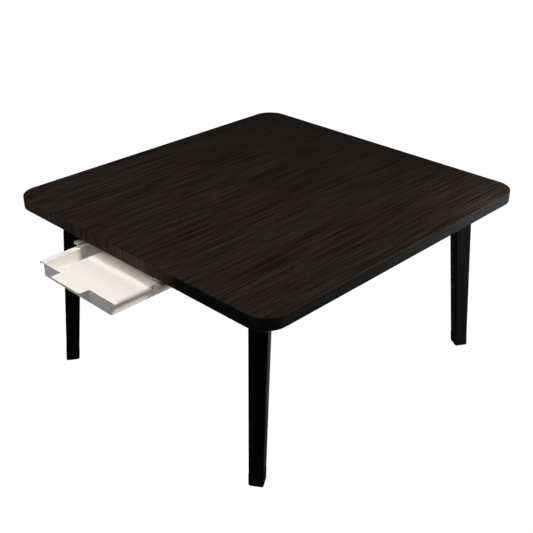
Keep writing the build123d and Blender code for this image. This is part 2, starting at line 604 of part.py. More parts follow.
# ---------------------------------------------------------------- drawer
def make_slide(web, foot_sign, lip_edge):
    """One slide: a flange screwed up, with a nose before the frame, a web and a runner's lip.

    web is the web's face beside the runner, foot_sign the way the flange goes from it and
    lip_edge the free edge of the lip."""
    outer = web + foot_sign * SLIDE_SHEET
    foot_edge = outer + foot_sign * SLIDE_FOOT_WIDTH
    run = (SLIDE_FRONT, SLIDE_STOP + SLIDE_SHEET)
    foot_level = (FRAME_UNDER - SLIDE_FOOT, FRAME_UNDER)
    foot = block(sorted((web, foot_edge)), (SLIDE_FRONT, SLIDE_REAR), foot_level)
    nose_y = (SLIDE_FRONT, -FRAME_HALF_Y - SLIDE_NOSE_GAP)
    foot += block(sorted((web, foot_edge)), nose_y, (foot_level[0], FRAME_UNDER + SLIDE_NOSE_RISE))
    front_edges = foot.edges().filter_by(Axis.Z).group_by(Axis.Y)[0].sort_by(Axis.X)
    foot = fillet(front_edges[0 if foot_sign < 0 else -1], SLIDE_FOOT_R)
    side = block(sorted((web, outer)), run, (LIP_UNDER, FRAME_UNDER))
    lip = block(sorted((outer, lip_edge)), run, (LIP_UNDER, LIP_TOP))
    end = block(sorted((outer, lip_edge)), (SLIDE_STOP, run[1]), (LIP_UNDER, FRAME_UNDER - RIM_DROP))
    nub_rear = TRAY_REAR - STOP_EAR_LENGTH - PULL_FURTHER - STOP_GAP
    nub_x = sorted((web, web - foot_sign * (SIDE_FIT - NUB_CLEAR)))
    nub = block(nub_x, (nub_rear - NUB_LENGTH, nub_rear), (LIP_TOP, RUNNER_TOP - RUN_FIT))
    holes = [pilot(SMALL_SCREW, x, y, foot_level[0], SCREW_HOLE_GAP) for x, y in slide_screws()]
    return foot + side + lip + end + nub - holes


def make_tray():
    """The tray: thin walls, a runner along each side, a partition and a seat for the cover."""
    middle = (TRAY_MIDDLE_X, (TRAY_FRONT + TRAY_REAR) / 2)
    shell = slab(TRAY_WIDTH, TRAY_LENGTH, TRAY_CORNER_R, TRAY_UNDER, RIM_TOP, middle)
    shell = fillet(shell.faces().sort_by(Axis.Z)[0].edges(), TRAY_EDGE_R)
    inside = (TRAY_WIDTH - 2 * TRAY_WALL, TRAY_LENGTH - 2 * TRAY_WALL, TRAY_INSIDE_R)
    hollow = slab(*inside, TRAY_UNDER + TRAY_WALL, RIM_TOP + CUT_PAST, middle)
    hollow = fillet(hollow.faces().sort_by(Axis.Z)[0].edges(), TRAY_FLOOR_R)
    run = (TRAY_FRONT, TRAY_REAR)
    left_top = block((RUNNER_LEFT, TRAY_LEFT + TRAY_WALL), run, (COVER_UNDER, RIM_TOP))
    left_edge = block((RUNNER_LEFT, RUNNER_LEFT + TRAY_WALL), run, (RUNNER_UNDER, RIM_TOP))
    right = block((TRAY_RIGHT - TRAY_WALL, RUNNER_RIGHT), run, (RUNNER_UNDER, RUNNER_TOP))
    cover_seat = block((COVER_LEFT_X - SKIRT_FIT, COVER_RIGHT + CUT_PAST),
                       (TRAY_FRONT - CUT_PAST, TRAY_REAR + CUT_PAST), (RUNNER_TOP, RIM_TOP + CUT_PAST))
    wall_x = (COVER_LEFT_X + PARTITION_INSET, COVER_LEFT_X + PARTITION_INSET + PARTITION)
    partition = block(wall_x, (TRAY_FRONT + TRAY_WALL / 2, TRAY_REAR - TRAY_WALL / 2),
                      (TRAY_UNDER + TRAY_WALL / 2, RUNNER_TOP))
    ear_y = (TRAY_REAR - STOP_EAR_LENGTH, TRAY_REAR)
    ear_z = (RUNNER_UNDER, RUNNER_TOP)
    ears = [block((RUNNER_LEFT - STOP_EAR, RUNNER_LEFT + CUT_PAST), ear_y, ear_z),
            block((RUNNER_RIGHT - CUT_PAST, WEB_RIGHT - (SIDE_FIT - STOP_EAR)), ear_y, ear_z)]
    return shell - hollow + left_top + left_edge + right - cover_seat + partition + ears


def make_cover():
    """The flat cover of the tray's wide bay, with its pull tab, guiding skirt and stop rib."""
    level = (COVER_UNDER, RIM_TOP)
    plate = block((COVER_LEFT_X, COVER_RIGHT), (TRAY_FRONT, TRAY_REAR), level)
    tab = block((TAB_LEFT_X, TAB_LEFT_X + TAB_WIDTH), (TAB_TIP, TRAY_FRONT + CUT_PAST), level)
    tab = fillet(tab.edges().filter_by(Axis.Z).group_by(Axis.Y)[0].sort_by(Axis.X)[-1], TAB_CORNER_R)
    ear_x = (COVER_RIGHT - CUT_PAST, COVER_RIGHT + EAR_REACH)
    ear = block(ear_x, (TRAY_FRONT, TRAY_FRONT + EAR_LENGTH), level)
    skirt_y = (TRAY_FRONT, TRAY_REAR - STOP_EAR_LENGTH - SKIRT_SHORT)
    skirt = block((COVER_RIGHT - SKIRT, COVER_RIGHT), skirt_y, (RUNNER_UNDER + RUN_FIT, RIM_TOP))
    rib_y = TRAY_FRONT + TRAY_WALL + COVER_TRAVEL + STOP_GAP
    rib_x = (COVER_LEFT_X + PARTITION + STOP_RIB_INSET, TRAY_RIGHT - TRAY_WALL - STOP_RIB_INSET)
    rib = block(rib_x, (rib_y, rib_y + STOP_RIB), (COVER_UNDER - STOP_RIB_DEPTH, RIM_TOP - SHEET / 2))
    return plate + tab + ear + skirt + rib


def make_drawer():
    """Slides, tray, cover and the slides' screws."""
    foot_level = FRAME_UNDER - SLIDE_FOOT
    return {
        "slide_left": make_slide(WEB_LEFT, -1, TRAY_LEFT - SLIDE_LIP_CLEAR),
        "slide_right": make_slide(WEB_RIGHT, 1, TRAY_RIGHT + SLIDE_LIP_CLEAR),
        "slide_screws": Part() + [screw(SMALL_SCREW, x, y, foot_level) for x, y in slide_screws()],
        "drawer_tray": make_tray(),
        "drawer_cover": make_cover(),
    }


# ---------------------------------------------------------------- the whole table
def main():
    """Builds every piece and writes it to parts/."""
    pieces = make_board() | {"board_pads": make_pads()} | make_frame() | make_leg_fixings()
    pieces["frame_dowels"] = Part() + [dowel(place) for place in dowels()]
    for name, signs in CORNERS.items():
        pieces["leg_" + name] = make_leg(signs)
        pieces["foot_cap_" + name] = make_cap(signs)
        pieces["leg_bracket_" + name] = make_bracket(signs)
    pieces |= make_heater() | make_drawer()
    os.makedirs("parts", exist_ok=True)
    for name, piece in pieces.items():
        export_step(Pos(0, SETBACK, 0) * piece, f"parts/{name}.step")


main()
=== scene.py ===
"""Looks of a low square heated table: a wood-grain board on four tapered legs, a shallow cream
drawer under the front edge and the heater unit under the middle.

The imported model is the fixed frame. What is made here rides on one of its bodies."""

import logging
import math
from dataclasses import dataclass, field
from enum import Enum
from typing import Any, Iterable

import bmesh
import bpy
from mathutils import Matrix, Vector


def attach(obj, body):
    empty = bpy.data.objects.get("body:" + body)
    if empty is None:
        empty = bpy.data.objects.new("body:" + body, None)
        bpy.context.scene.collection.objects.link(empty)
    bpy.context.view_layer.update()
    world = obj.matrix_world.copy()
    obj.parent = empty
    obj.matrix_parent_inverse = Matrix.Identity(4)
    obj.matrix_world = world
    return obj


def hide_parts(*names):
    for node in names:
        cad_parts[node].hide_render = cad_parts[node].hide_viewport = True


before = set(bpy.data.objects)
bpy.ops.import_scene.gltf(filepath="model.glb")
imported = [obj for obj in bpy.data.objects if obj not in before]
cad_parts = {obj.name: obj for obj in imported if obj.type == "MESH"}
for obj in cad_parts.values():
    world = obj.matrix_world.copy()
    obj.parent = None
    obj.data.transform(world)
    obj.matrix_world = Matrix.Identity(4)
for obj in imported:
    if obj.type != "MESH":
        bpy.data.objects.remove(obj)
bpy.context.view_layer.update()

LOG = logging.getLogger("kotatsu")
MM = 0.001
TOUCH = 0.001 * MM  # points of a new mesh closer than this are one
WELD = 0.002 * MM  # points of a CAD node closer than this are one
SAME_LEVEL = 0.01 * MM  # points whose heights differ by less lie in one section
FLAT = math.radians(0.4)  # faces at less than this angle are one face
HARD = math.radians(40.0)  # edges sharper than this are softened
CORNERS = ("front_left", "front_right", "rear_left", "rear_right")
WHITE = (1.0, 1.0, 1.0, 1.0)
MIX_COLOURS = (6, 7, 2)  # a Mix node's two colour inputs and its colour output
Colour = tuple[float, float, float]
Point = tuple[float, float, float]


# ---------------------------------------------------------------- node trees
class Wire:
    """An output socket of a shader tree that takes part in Python arithmetic."""

    def __init__(self, bench: "Bench", socket: bpy.types.NodeSocket) -> None:
        """Wraps one socket of a bench's tree."""
        self.bench = bench
        self.socket = socket

    def _math(self, operation: str, *values: "Wire | float") -> "Wire":
        """Adds one Math node.

        Args:
            operation: The Math node's operation.
            values: Its inputs in order.

        Returns:
            The result.
        """
        return self.bench.wire("ShaderNodeMath", {"operation": operation}, dict(enumerate(values)))

    def __add__(self, other: "Wire | float") -> "Wire":
        """Sum."""
        return self._math("ADD", self, other)

    __radd__ = __add__

    def __sub__(self, other: "Wire | float") -> "Wire":
        """Difference."""
        return self._math("SUBTRACT", self, other)

    def __rsub__(self, other: float) -> "Wire":
        """Difference with a number in front."""
        return self._math("SUBTRACT", other, self)

    def __mul__(self, other: "Wire | float") -> "Wire":
        """Product."""
        return self._math("MULTIPLY", self, other)

    __rmul__ = __mul__

    def __truediv__(self, other: "Wire | float") -> "Wire":
        """Quotient."""
        return self._math("DIVIDE", self, other)

    def __rtruediv__(self, other: float) -> "Wire":
        """Quotient with a number in front."""
        return self._math("DIVIDE", other, self)

    def __neg__(self) -> "Wire":
        """Opposite."""
        return self._math("MULTIPLY", self, -1.0)

    def __abs__(self) -> "Wire":
        """Size without its sign."""
        return self._math("ABSOLUTE", self)

    def over(self, other: "Wire | float") -> "Wire":
        """The larger of two values."""
        return self._math("MAXIMUM", self, other)

    def below(self, level: float) -> "Wire":
        """1 where the value is less than the level, else 0."""
        return self._math("LESS_THAN", self, level)

    def about(self, middle: float, swing: float) -> "Wire":
        """A share from 0 to 1 as a value round the middle, swing wide in all."""
        return self * swing + middle - swing / 2

    def step(self, low: float, high: float) -> "Wire":
        """A smooth rise from 0 at low to 1 at high.

        Args:
            low: Where the rise starts.
            high: Where it ends.

        Returns:
            The eased value.
        """
        sockets = {"Value": self, "From Min": low, "From Max": high, "To Min": 0.0, "To Max": 1.0}
        return self.bench.wire("ShaderNodeMapRange", {"interpolation_type": "SMOOTHSTEP"}, sockets)


class Bench:
    """A node tree under construction."""

    def __init__(self, tree: bpy.types.NodeTree) -> None:
        """Starts on an empty tree."""
        self.tree = tree

    def node(self, kind: str, settings: dict[str, Any] | None = None,
             sockets: dict[Any, Any] | None = None) -> bpy.types.Node:
        """Adds one node.

        Args:
            kind: The node's type.
            settings: Its properties, set first.
            sockets: Values, wires or sockets by input name or place.

        Returns:
            The node.
        """
        node = self.tree.nodes.new(kind)
        for key, value in (settings or {}).items():
            setattr(node, key, value)
        for key, value in (sockets or {}).items():
            if isinstance(value, Wire):
                value = value.socket
            if isinstance(value, bpy.types.NodeSocket):
                self.tree.links.new(value, node.inputs[key])
            else:
                node.inputs[key].default_value = value
        return node

    def wire(self, kind: str, settings: dict[str, Any] | None = None,
             sockets: dict[Any, Any] | None = None, output: int | str = 0) -> Wire:
        """Adds one node and gives one of its outputs, with node's arguments."""
        return Wire(self, self.node(kind, settings, sockets).outputs[output])

    def point(self) -> Wire:
        """The surface point's own coordinates, in metres."""
        return self.wire("ShaderNodeTexCoord", output="Object")

    def parts(self, vector: Wire | bpy.types.NodeSocket) -> tuple[Wire, Wire, Wire]:
        """A vector's x, y and z."""
        split = self.node("ShaderNodeSeparateXYZ", sockets={0: vector})
        return tuple(Wire(self, socket) for socket in split.outputs)

    def place(self) -> tuple[Wire, Wire, Wire]:
        """The surface point's own coordinates, part by part."""
        return self.parts(self.point())

    def facing(self) -> tuple[Wire, Wire, Wire]:
        """The surface's normal, part by part."""
        return self.parts(self.wire("ShaderNodeNewGeometry", output="Normal"))

    def vector(self, x: Wire | float, y: Wire | float, z: Wire | float = 0.0) -> Wire:
        """A vector from three parts."""
        return self.wire("ShaderNodeCombineXYZ", sockets={0: x, 1: y, 2: z})

    def noise(self, at: Wire, scale: float = 1.0, detail: float = 2.0, rough: float = 0.5,
              warp: float = 0.0) -> Wire:
        """Noise round 0.5.

        Args:
            at: Where it is read.
            scale: Periods per unit of at.
            detail: Octaves.
            rough: Share of the finer octaves.
            warp: Distortion.

        Returns:
            The value.
        """
        sockets = {"Vector": at, "Scale": scale, "Detail": detail, "Roughness": rough, "Distortion": warp}
        return self.wire("ShaderNodeTexNoise", {"noise_dimensions": "3D"}, sockets)

    def tint(self, low: Any, high: Any, share: Wire | float) -> Wire:
        """A mix of two colours.

        Args:
            low: Colour or wire at share 0.
            high: Colour or wire at share 1.
            share: How much of high.

        Returns:
            The colour.
        """
        low, high = [c if isinstance(c, Wire) else (*c, 1.0) for c in (low, high)]
        first, second, result = MIX_COLOURS
        sockets = {0: share, first: low, second: high}
        return self.wire("ShaderNodeMix", {"data_type": "RGBA"}, sockets, result)

    def scaled(self, colour: Wire, share: Wire | float) -> Wire:
        """A colour made darker or lighter by a factor."""
        return self.wire("ShaderNodeVectorMath", {"operation": "SCALE"}, {0: colour, "Scale": share})

    def bump(self, height: Wire, depth: float, strength: float = 1.0) -> Wire:
        """A normal from a height.

        Args:
            height: From 0 to 1.
            depth: What 1 stands for, in metres.
            strength: Share of the effect.

        Returns:
            The normal.
        """
        sockets = {"Strength": strength, "Distance": depth, "Height": height}
        return self.wire("ShaderNodeBump", {}, sockets)


def emptied(owner: bpy.types.Material | bpy.types.World) -> Bench:
    """Gives a material or a world an empty tree to work in."""
    owner.use_nodes = True
    owner.node_tree.nodes.clear()
    return Bench(owner.node_tree)


# ---------------------------------------------------------------- finishes
@dataclass(frozen=True)
class Finish:
    """A finish: a name, the record's slot and a surface."""

    name: str
    slot: str
    specular: float = 0.5
    metallic: float = 0.0

    def paint(self, bench: Bench) -> dict[str, Any]:
        """The sockets of the surface that vary, or are set, by name."""
        raise NotImplementedError

    def material(self) -> bpy.types.Material:
        """Makes the material of this finish, once.

        Returns:
            The material.
        """
        known = bpy.data.materials.get(self.name)
        if known:
            return known
        made = bpy.data.materials.new(self.name)
        bench = emptied(made)
        sockets = {"Specular IOR Level": self.specular, "Metallic": self.metallic} | self.paint(bench)
        surface = bench.node("ShaderNodeBsdfPrincipled", sockets=sockets)
        bench.node("ShaderNodeOutputMaterial", sockets={"Surface": surface.outputs[0]})
        return made


class Grain(Enum):
    """The way that a grain or a metal's lines run."""

    ALONG_X = "x"
    ALONG_Y = "y"
    UPRIGHT = "z"


@dataclass(frozen=True)
class Streak:
    """One width of streak.

    across and along are its periods per metre, and level sets it apart from the other widths."""

    across: float
    along: float
    level: float = 0.0
    detail: float = 2.0
    rough: float = 0.5

    def drawn(self, bench: Bench, across: Wire, along: Wire) -> Wire:
        """Draws the streak.

        Args:
            bench: The tree that it is drawn in.
            across: The place across the grain.
            along: The place along it.

        Returns:
            Noise round 0.5.
        """
        at = bench.vector(across * self.across, along * self.along, self.level)
        return bench.noise(at, detail=self.detail, rough=self.rough)

    def through(self, bench: Bench, grain: Grain) -> Wire:
        """Draws the streak through a solid, so that it shows on every side.

        Args:
            bench: The tree that it is drawn in.
            grain: The way that it runs.

        Returns:
            Noise round 0.5.
        """
        parts = dict(zip("xyz", bench.place()))
        along = parts.pop(grain.value)
        one, two = parts.values()
        at = bench.vector(one * self.across, two * self.across, along * self.along)
        return bench.noise(at, detail=self.detail, rough=self.rough)


@dataclass(frozen=True)
class Wenge(Finish):
    """Wood-grain laminate: fine streaks along Y that turn down over the front and rear edges.

    The figure is darker towards the rear, as painted shade, and lighter at the rear right corner, as
    painted light. The edge band is nearly black; its front and rear faces get a lighter black than its
    sides, painted light that lifts their shade, and the front edge's long left-hand stretch is lighter
    still, a painted highlight. painted_light_end is where that stretch ends, painted_light_tones is how
    light it is at its left, middle and right, and painted_light_tone_x where those tones meet.
    painted_rear_shade gives where the painted shade starts and ends and its amount, and
    painted_corner_light_x and painted_corner_light_y where the corner's painted light rises,
    painted_corner_light_rise by how much. shares are the parts of fine, middle, wide and broad streaks in
    the figure, and figure is the range of their sum from dark to light. hue_shares are the parts of hue,
    broad streaks and front edge in the step from warm to olive. drift is how far the streaks wander,
    and front_crowding and front_dimming how much closer and darker they are on the front and rear
    edges. A name that ends in turn is the range in which a surface counts as turned."""

    ground: Colour = (0.0060, 0.0046, 0.0037)
    vessel: Colour = (0.0032, 0.0028, 0.0024)
    warm: Colour = (0.0318, 0.0194, 0.0155)
    olive: Colour = (0.0282, 0.0239, 0.0189)
    side_black: Colour = (0.0054, 0.0055, 0.0057)
    # front_black_painted_lift is painted light: the band's front and rear faces get a lighter black than
    # its sides to lift their shade.
    front_black_painted_lift: Colour = (0.0138, 0.0138, 0.0134)
    backing: Colour = (0.0150, 0.0135, 0.0125)
    # painted_light_end, painted_light_tones and painted_light_tone_x place a painted highlight on the front
    # edge's left-hand stretch.
    painted_light_end: tuple[float, float] = (0.115, 0.150)
    painted_light_tones: tuple[float, float, float] = (7.0, 3.15, 5.2)
    # painted_rear_shade is painted shade that darkens the figure towards the rear.
    painted_rear_shade: tuple[float, float, float] = (-0.400, 0.760, 0.90)
    # painted_corner_light_x, painted_corner_light_y and painted_corner_light_rise are a painted light that
    # lifts the figure at the rear right corner.
    painted_corner_light_x: tuple[float, float] = (0.12, 0.30)
    painted_corner_light_y: tuple[float, float] = (0.12, 0.36)
    painted_corner_light_rise: float = 1.0
    painted_light_tone_x: tuple[float, float, float, float] = (-0.24, -0.12, -0.07, 0.01)
    wander: Streak = Streak(3.0, 1.3, detail=1.0)
    fine: Streak = Streak(700.0, 10.0, rough=0.6)
    middle: Streak = Streak(330.0, 6.0, 3.0, rough=0.6)
    wide: Streak = Streak(150.0, 3.0, 13.0, rough=0.55)
    broad: Streak = Streak(22.0, 1.2, 7.0)
    hue: Streak = Streak(190.0, 4.5, 17.0)
    dash: Streak = Streak(950.0, 38.0, 5.0, detail=1.0)
    shares: tuple[float, float, float, float] = (0.24, 0.52, 0.16, 0.08)
    figure: tuple[float, float] = (0.43, 0.58)
    hue_shares: tuple[float, float, float] = (0.7, 0.3, 0.04)
    hue_range: tuple[float, float] = (0.42, 0.58)
    vessel_size: tuple[float, float] = (0.56, 0.70)
    vessel_share: float = 0.45
    light_share: float = 0.80
    front_crowding: float = 1.5
    front_dimming: float = 0.15
    edge_turn: tuple[float, float] = (0.55, 0.85)
    under_turn: tuple[float, float] = (0.7, 0.9)
    front_turn: tuple[float, float] = (0.80, 0.96)
    # painted_light_turn and painted_light_tone_turn mask the painted highlight on the front edge.
    painted_light_turn: tuple[float, float] = (0.10, 0.50)
    black_turn: tuple[float, float] = (0.45, 0.95)
    painted_light_tone_turn: tuple[float, float] = (0.02, 0.98)
    black_figure: tuple[float, float] = (0.80, 0.40)
    drift: float = 4.0 * MM
    rough: float = 0.46
    streak_rough: float = 0.12
    vessel_rough: float = 0.08
    relief: float = 0.12 * MM

    def paint(self, bench: Bench) -> dict[str, Any]:
        """Streaks, vessels, tints, painted shade and light, a darker edge and a plain backing underneath.

        Args:
            bench: The tree that it is painted in.

        Returns:
            The surface's sockets by name.
        """
        x, y, z = bench.place()
        nx, ny, nz = bench.facing()
        side, front = abs(nx).step(*self.edge_turn), abs(ny).step(*self.edge_turn)
        wander = self.wander.drawn(bench, x, y) - 0.5
        across = x * (1.0 - side) * (1.0 + front * self.front_crowding) + z * side + wander * self.drift
        along = y - z * (1.0 - side)
        streaks = (self.fine, self.middle, self.wide, self.broad)
        widths = [streak.drawn(bench, across, along) for streak in streaks]
        parts = [width * share for width, share in zip(widths, self.shares)]
        fine, broad = widths[0], widths[-1]
        hue = self.hue.drawn(bench, across, along)
        vessel = self.dash.drawn(bench, across, along).step(*self.vessel_size)
        light = sum(parts[1:], parts[0]).step(*self.figure)
        one, two, three = self.hue_shares
        olive = (hue * one + broad * two + front * three).step(*self.hue_range)
        colour = bench.tint(self.warm, self.olive, olive)
        colour = bench.tint(self.ground, colour, light * (self.light_share - front * self.front_dimming))
        colour = bench.tint(colour, self.vessel, vessel * self.vessel_share)
        # Painted shade darkens the figure towards the rear; painted light lifts it at the rear right
        # corner.
        start, end, amount = self.painted_rear_shade
        corner = x.step(*self.painted_corner_light_x) * y.step(*self.painted_corner_light_y) * self.painted_corner_light_rise
        colour = bench.scaled(colour, (1.0 - y.step(start, end) * amount) * (1.0 + corner))
        colour = self._edge(bench, colour, light, 1.0 - abs(nz))
        return {
            "Base Color": bench.tint(colour, self.backing, (-nz).step(*self.under_turn)),
            "Roughness": self.rough + fine * self.streak_rough + vessel * self.vessel_rough,
            "Normal": bench.bump(fine * 0.5 - vessel * 0.5, self.relief, 0.6),
        }

    def _edge(self, bench: Bench, colour: Wire, light: Wire, turn: Wire) -> Wire:
        """Paints the edge band's black, lighter on its front and rear faces as painted light,
        and the painted highlight on its pale stretch.

        Args:
            bench: The tree that it is painted in.
            colour: The figure's colour.
            light: The figure from dark to light.
            turn: 0 on the flat, 1 on the edge.

        Returns:
            The colour.
        """
        x, ny = bench.place()[0], bench.facing()[1]
        # pale masks the painted highlight on the front edge's left-hand stretch.
        pale = (-ny).step(*self.painted_light_turn) * (1.0 - x.step(*self.painted_light_end))
        # A lighter black on the front and rear faces is painted light.
        black = bench.tint(self.side_black, self.front_black_painted_lift, abs(ny).step(*self.front_turn))
        least, rise = self.black_figure
        black = bench.scaled(black, least + light * rise)
        colour = bench.tint(colour, black, turn.step(*self.black_turn) * (1.0 - pale))
        # The painted highlight's strength at the stretch's left, middle and right.
        left, middle, right = self.painted_light_tones
        to_middle = x.step(*self.painted_light_tone_x[:2]) * (middle - left)
        to_right = x.step(*self.painted_light_tone_x[2:]) * (right - middle)
        tone = to_middle + to_right + left
        return bench.scaled(colour, 1.0 + turn.step(*self.painted_light_tone_turn) * pale * (tone - 1.0))


@dataclass(frozen=True)
class StainedWood(Finish):
    """Wood with a thin stain or paint, through which the grain shows a little.

    tones and pore_size are the ranges of noise that make its tones and pores, swing is how far the
    gloss varies, and depth the grain's relief in millimetres."""

    colour: Colour = (0.020, 0.017, 0.015)
    light: Colour = (0.034, 0.028, 0.024)
    grain: Grain = Grain.ALONG_X
    rough: float = 0.52
    swing: float = 0.10
    depth: float = 0.10
    streak: Streak = Streak(260.0, 7.0, detail=3.0, rough=0.6)
    pore: Streak = Streak(900.0, 40.0, detail=1.0)
    cloud: Streak = Streak(6.0, 3.0, detail=1.0)
    cloud_share: float = 0.3
    tones: tuple[float, float] = (0.40, 0.72)
    pore_size: tuple[float, float] = (0.60, 0.74)

    def paint(self, bench: Bench) -> dict[str, Any]:
        """Long streaks and short open pores.

        Args:
            bench: The tree that it is painted in.

        Returns:
            The surface's sockets by name.
        """
        streak = self.streak.through(bench, self.grain)
        pore = self.pore.through(bench, self.grain).step(*self.pore_size)
        cloud = self.cloud.through(bench, self.grain)
        share = streak * (1.0 - self.cloud_share) + cloud * self.cloud_share
        return {
            "Base Color": bench.tint(self.colour, self.light, share.step(*self.tones)),
            "Roughness": streak.about(self.rough, self.swing),
            "Normal": bench.bump(streak * 0.6 - pore * 0.4, self.depth * MM, 0.5),
        }


@dataclass(frozen=True)
class Coat(Finish):
    """A powder coat, a moulding or another even skin with a fine texture.

    shift and swing are how far its colour and gloss vary, clouds and texture the periods per metre
    of that change and of the skin, and depth is the skin's relief in millimetres."""

    colour: Colour = (0.010, 0.010, 0.011)
    shift: float = 0.12
    rough: float = 0.5
    swing: float = 0.10
    clouds: float = 14.0
    texture: float = 900.0
    depth: float = 0.04
    tones: tuple[float, float] = (0.35, 0.65)

    def paint(self, bench: Bench) -> dict[str, Any]:
        """A slight cloud in the colour and gloss, and a fine skin.

        Args:
            bench: The tree that it is painted in.

        Returns:
            The surface's sockets by name.
        """
        point = bench.point()
        cloud = bench.noise(point, self.clouds)
        skin = bench.noise(point, self.texture)
        low = tuple(part * (1.0 - self.shift) for part in self.colour)
        high = tuple(min(1.0, part * (1.0 + self.shift)) for part in self.colour)
        return {
            "Base Color": bench.tint(low, high, cloud.step(*self.tones)),
            "Roughness": cloud.about(self.rough, self.swing),
            "Normal": bench.bump(skin, self.depth * MM, 0.6),
        }


@dataclass(frozen=True)
class Plate(Finish):
    """Bare or plated metal with fine lines, or with the flakes of a hot-dip coat.

    shade is how dark its darkest lines are, and flakes the number of flakes in a metre."""

    metallic: float = 1.0
    colour: Colour = (0.60, 0.60, 0.59)
    rough: float = 0.34
    swing: float = 0.12
    shade: float = 0.86
    flakes: float = 0.0
    lines: Streak = Streak(1400.0, 30.0)
    relief: float = 0.02 * MM

    def paint(self, bench: Bench) -> dict[str, Any]:
        """Lines or flakes in the gloss and tone.

        Args:
            bench: The tree that it is painted in.

        Returns:
            The surface's sockets by name.
        """
        line = self.lines.through(bench, Grain.ALONG_X)
        tone = line.about(0.5, 0.5)
        if self.flakes:
            cell = bench.wire("ShaderNodeTexVoronoi", {"feature": "F1"},
                              {"Vector": bench.point(), "Scale": self.flakes}, "Color")
            tone = bench.wire("ShaderNodeSeparateColor", sockets={0: cell})
        low = tuple(part * self.shade for part in self.colour)
        return {
            "Base Color": bench.tint(low, self.colour, tone),
            "Roughness": tone.about(self.rough, self.swing),
            "Normal": bench.bump(line, self.relief, 0.4),
        }


@dataclass(frozen=True)
class Felt(Finish):
    """Pressed felt with a short nap, whose upper fibres are lighter by the factor lift."""

    colour: Colour = (0.035, 0.034, 0.034)
    lift: float = 2.4
    fibres: float = 1500.0
    tones: tuple[float, float] = (0.40, 0.70)
    rough: float = 0.92
    sheen: float = 0.25
    nap: float = 0.25 * MM

    def paint(self, bench: Bench) -> dict[str, Any]:
        """Tangled fibres, lighter on top.

        Args:
            bench: The tree that it is painted in.

        Returns:
            The surface's sockets by name.
        """
        tangle = bench.noise(bench.point(), self.fibres, detail=4.0, rough=0.7, warp=1.5)
        light = tuple(part * self.lift for part in self.colour)
        return {
            "Base Color": bench.tint(self.colour, light, tangle.step(*self.tones)),
            "Roughness": self.rough,
            "Sheen Weight": self.sheen,
            "Normal": bench.bump(tangle, self.nap, 0.9),
        }


@dataclass(frozen=True)
class Quartz(Finish):
    """Frosted quartz glass, from cloudy to clear, with drawing lines along X.

    across and along are the lines' periods per metre."""

    cloudy: Colour = (0.90, 0.88, 0.85)
    clear: Colour = (0.97, 0.96, 0.95)
    rough: float = 0.17
    swing: float = 0.14
    transmission: float = 0.9
    ior: float = 1.46
    across: float = 500.0
    along: float = 25.0
    relief: float = 0.02 * MM

    def paint(self, bench: Bench) -> dict[str, Any]:
        """Clear at the core, with a drawn, slightly milky skin.

        Args:
            bench: The tree that it is painted in.

        Returns:
            The surface's sockets by name.
        """
        x, y, z = bench.place()
        drawn = bench.noise(bench.vector(x * self.along, y * self.across, z * self.across))
        return {
            "Base Color": bench.tint(self.cloudy, self.clear, drawn),
            "Roughness": drawn.about(self.rough, self.swing),
            "Transmission Weight": self.transmission,
            "IOR": self.ior,
            "Normal": bench.bump(drawn, self.relief, 0.4),
        }


class Finishes:
    """Every finish of the table, each made once and used by name."""

    BOARD = Wenge("board_wenge_laminate", "board_laminate", specular=0.001)
    BAND = Wenge("board_edge_band", "edge_band", specular=0.001)
    LEG = StainedWood("leg_black_satin", "leg_paint", specular=0.001, colour=(0.0026, 0.0026, 0.0027),
                      light=(0.0037, 0.0037, 0.0039), grain=Grain.UPRIGHT, rough=0.42, depth=0.05)
    FOOT = Coat("foot_cap_black", "foot_rubber", specular=0.001, colour=(0.0030, 0.0030, 0.0031),
                rough=0.62, texture=1400.0)
    FRAME_X = StainedWood("frame_board_crosswise", "frame_wood", specular=0.25)
    FRAME_Y = StainedWood("frame_board_lengthwise", "frame_wood", specular=0.25, grain=Grain.ALONG_Y)
    DOWEL = StainedWood("dowel_bare_beech", "dowel_wood", specular=0.4, colour=(0.50, 0.35, 0.21),
                        light=(0.60, 0.45, 0.29), rough=0.6)
    BRACKET = Coat("leg_bracket_powder_coat", "bracket_paint", specular=0.01,
                   colour=(0.0050, 0.0050, 0.0052))
    GUARD = Coat("heater_guard_heatproof_coat", "guard_paint", specular=0.35,
                 colour=(0.016, 0.016, 0.017), texture=1600.0)
    BLACK = Coat("black_moulding", "black_moulding", specular=0.35, colour=(0.014, 0.014, 0.015),
                 rough=0.48)
    CREAM = Coat("cream_moulding", "cream_moulding", specular=0.008, colour=(0.885, 0.820, 0.752),
                 shift=0.012, rough=0.40, texture=1800.0, depth=0.02)
    CERAMIC = Coat("tube_holder_ceramic", "ceramic", colour=(0.80, 0.77, 0.71), shift=0.04, rough=0.72,
                   texture=1200.0, depth=0.06)
    ZINC = Plate("zinc_plate", "zinc_steel", colour=(0.62, 0.62, 0.60))
    NICKEL = Plate("nickel_plate", "nickel_plate", colour=(0.66, 0.62, 0.56), rough=0.22)
    PAN = Plate("pan_coated_sheet", "pan_steel", colour=(0.60, 0.60, 0.58), rough=0.38, flakes=160.0)
    REFLECTOR = Plate("reflector_polished_sheet", "reflector_steel", colour=(0.86, 0.86, 0.85), rough=0.12)
    WIRE = Plate("heating_wire", "zinc_steel", colour=(0.30, 0.26, 0.24), rough=0.45)
    FELT = Felt("pad_felt", "felt")
    QUARTZ = Quartz("tube_frosted_quartz", "quartz")


# ---------------------------------------------------------------- making and fitting pieces
def dress(piece: bpy.types.Object, finish: Finish) -> None:
    """Gives a piece or a CAD node one finish.

    Args:
        piece: What is dressed.
        finish: Its finish.
    """
    piece.data.materials.clear()
    piece.data.materials.append(finish.material())


